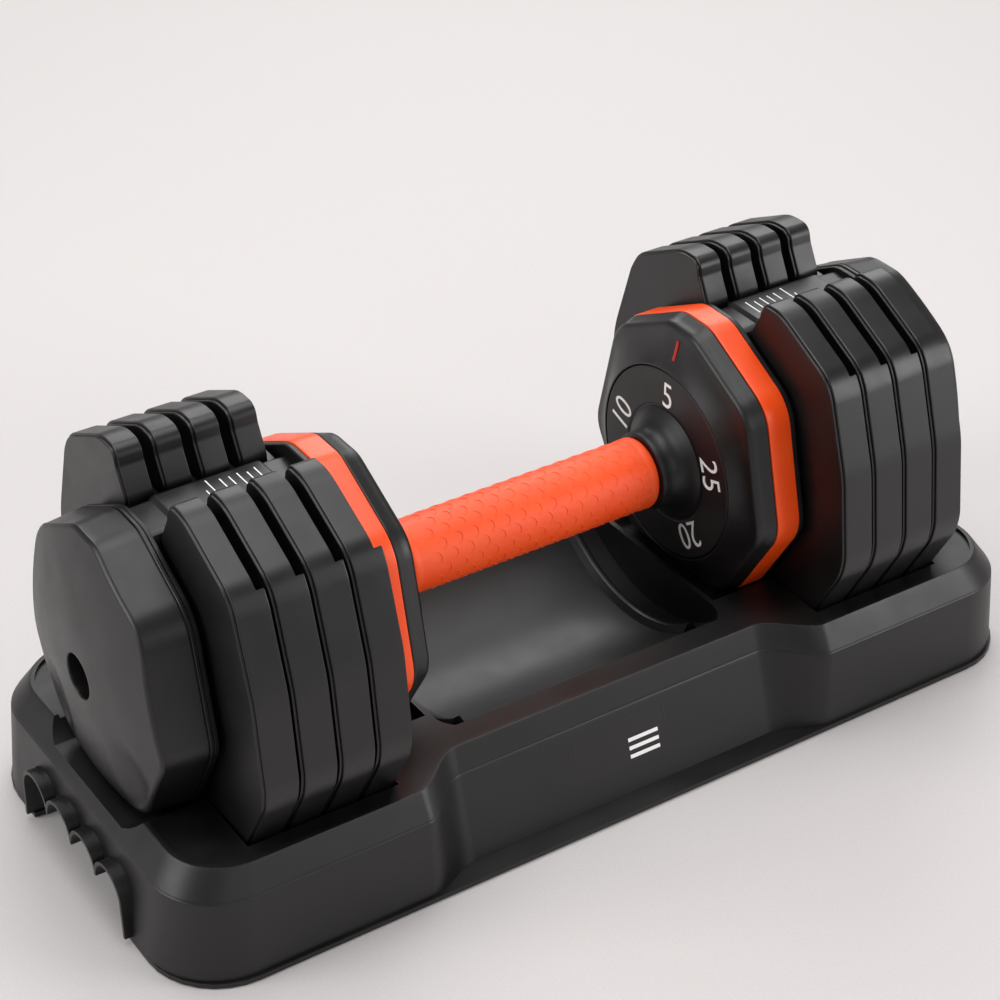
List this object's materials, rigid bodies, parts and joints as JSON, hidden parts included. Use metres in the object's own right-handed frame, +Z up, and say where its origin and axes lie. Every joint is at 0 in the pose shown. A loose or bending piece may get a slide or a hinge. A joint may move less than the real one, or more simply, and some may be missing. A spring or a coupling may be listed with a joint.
{
  "type": "adjustable dumbbell",
  "caption": "Twist-handle adjustable dumbbell resting on its moulded cradle; turning the grip drives lock rods out through stacked plates.",
  "frame": {"origin": "on the floor under the middle of the handle, at the centre of the cradle's footprint", "axes": "+X along the handle, -Y the cradle's front with the inlay, +Z up"},
  "size_m": [0.455, 0.195, 0.188],
  "materials": {
    "cradle_plastic": "fine-grained black moulding",
    "foot_rubber": "soft black rubber",
    "fastener_steel": "zinc-plated screws",
    "badge_plastic": "engraved black inlay",
    "grip_rubber": "orange embossed grip",
    "tube_steel": "turned steel tube",
    "head_plastic": "satin black moulding",
    "band_plastic": "orange satin-gloss band",
    "dark_plastic": "black moulding",
    "dial_plastic": "dark grey dial",
    "number_white": "white printed numbers",
    "mark_red": "red index mark",
    "spine_plastic": "black moulding",
    "bush_brass": "plain bearing",
    "weight_iron": "cast weight",
    "pin_steel": "ground steel",
    "core_steel": "black coated steel",
    "plate_plastic": "satin black moulded cover"
  },
  "bodies": {
    "cradle": {"cradle_shell": "cradle_plastic", "cradle_bottom_plate": "cradle_plastic", "rubber_feet": "foot_rubber", "cradle_screws": "fastener_steel", "badge_plate": "badge_plastic", "plate_pad_left": "foot_rubber", "plate_pad_right": "foot_rubber", "release_post_left": "pin_steel", "release_post_right": "pin_steel"},
    "handle_frame": {"inner_head_left": "head_plastic", "accent_band_left": "band_plastic", "head_back_left": "dark_plastic", "bush_left": "bush_brass", "spine_left": "spine_plastic", "cap_plate_left": "dark_plastic", "end_cap_left": "head_plastic", "end_weight_left": "weight_iron", "index_mark_left": "mark_red", "pin_spring_left": "pin_steel", "inner_head_right": "head_plastic", "accent_band_right": "band_plastic", "head_back_right": "dark_plastic", "bush_right": "bush_brass", "spine_right": "spine_plastic", "cap_plate_right": "dark_plastic", "end_cap_right": "head_plastic", "end_weight_right": "weight_iron", "index_mark_right": "mark_red", "pin_spring_right": "pin_steel", "frame_screws": "fastener_steel"},
    "handle": {"grip_sleeve": "grip_rubber", "handle_tube": "tube_steel", "hub_left": "dark_plastic", "dial_left": "dial_plastic", "dial_numbers_left": "number_white", "hub_right": "dark_plastic", "dial_right": "dial_plastic", "dial_numbers_right": "number_white"},
    "rod_left": {"lock_rod_left": "pin_steel"},
    "latch_left": {"lock_pin_left": "pin_steel"},
    "rod_right": {"lock_rod_right": "pin_steel"},
    "latch_right": {"lock_pin_right": "pin_steel"},
    "plate_left_1": {"plate_core_left_1": "core_steel", "plate_cover_left_1": "plate_plastic"},
    "plate_left_2": {"plate_core_left_2": "core_steel", "plate_cover_left_2": "plate_plastic"},
    "plate_left_3": {"plate_core_left_3": "core_steel", "plate_cover_left_3": "plate_plastic"},
    "plate_left_4": {"plate_core_left_4": "core_steel", "plate_cover_left_4": "plate_plastic"},
    "plate_right_1": {"plate_core_right_1": "core_steel", "plate_cover_right_1": "plate_plastic"},
    "plate_right_2": {"plate_core_right_2": "core_steel", "plate_cover_right_2": "plate_plastic"},
    "plate_right_3": {"plate_core_right_3": "core_steel", "plate_cover_right_3": "plate_plastic"},
    "plate_right_4": {"plate_core_right_4": "core_steel", "plate_cover_right_4": "plate_plastic"}
  },
  "joints": [
    {"name": "lift", "type": "slide", "parent": "cradle", "child": "handle_frame", "axis": [0, 0, 1], "range_m": [0, 0.2]},
    {"name": "handle_turn", "type": "hinge", "parent": "handle_frame", "child": "handle", "pos_m": [0, 0, 0.1034], "axis": [1, 0, 0], "range_deg": [0, 288]},
    {"name": "rod_slide_left", "type": "slide", "parent": "handle_frame", "child": "rod_left", "axis": [-1, 0, 0], "range_m": [0, 0.06996]},
    {"name": "latch_drop_left", "type": "slide", "parent": "handle_frame", "child": "latch_left", "axis": [0, 0, -1], "range_m": [0, 0.004], "deforming": ["pin_spring_left"]},
    {"name": "rod_slide_right", "type": "slide", "parent": "handle_frame", "child": "rod_right", "axis": [1, 0, 0], "range_m": [0, 0.06996]},
    {"name": "latch_drop_right", "type": "slide", "parent": "handle_frame", "child": "latch_right", "axis": [0, 0, -1], "range_m": [0, 0.004], "deforming": ["pin_spring_right"]},
    {"name": "plate_left_1_lift", "type": "slide", "parent": "cradle", "child": "plate_left_1", "axis": [0, 0, 1], "range_m": [0, 0.2]},
    {"name": "plate_left_2_lift", "type": "slide", "parent": "cradle", "child": "plate_left_2", "axis": [0, 0, 1], "range_m": [0, 0.2]},
    {"name": "plate_left_3_lift", "type": "slide", "parent": "cradle", "child": "plate_left_3", "axis": [0, 0, 1], "range_m": [0, 0.2]},
    {"name": "plate_left_4_lift", "type": "slide", "parent": "cradle", "child": "plate_left_4", "axis": [0, 0, 1], "range_m": [0, 0.2]},
    {"name": "plate_right_1_lift", "type": "slide", "parent": "cradle", "child": "plate_right_1", "axis": [0, 0, 1], "range_m": [0, 0.2]},
    {"name": "plate_right_2_lift", "type": "slide", "parent": "cradle", "child": "plate_right_2", "axis": [0, 0, 1], "range_m": [0, 0.2]},
    {"name": "plate_right_3_lift", "type": "slide", "parent": "cradle", "child": "plate_right_3", "axis": [0, 0, 1], "range_m": [0, 0.2]},
    {"name": "plate_right_4_lift", "type": "slide", "parent": "cradle", "child": "plate_right_4", "axis": [0, 0, 1], "range_m": [0, 0.2]}
  ],
  "couplings": [
    {"joint": "rod_slide_left", "follows": "handle_turn", "m_per_rad": 0.013918},
    {"joint": "latch_drop_left", "follows": "lift", "ratio": 0.02},
    {"joint": "rod_slide_right", "follows": "handle_turn", "m_per_rad": 0.013918},
    {"joint": "latch_drop_right", "follows": "lift", "ratio": 0.02},
    {"joint": "plate_left_1_lift", "follows": "lift", "ratio": 1},
    {"joint": "plate_left_2_lift", "follows": "lift", "ratio": 1},
    {"joint": "plate_left_3_lift", "follows": "lift", "ratio": 1},
    {"joint": "plate_left_4_lift", "follows": "lift", "ratio": 1},
    {"joint": "plate_right_1_lift", "follows": "lift", "ratio": 1},
    {"joint": "plate_right_2_lift", "follows": "lift", "ratio": 1},
    {"joint": "plate_right_3_lift", "follows": "lift", "ratio": 1},
    {"joint": "plate_right_4_lift", "follows": "lift", "ratio": 1}
  ]
}
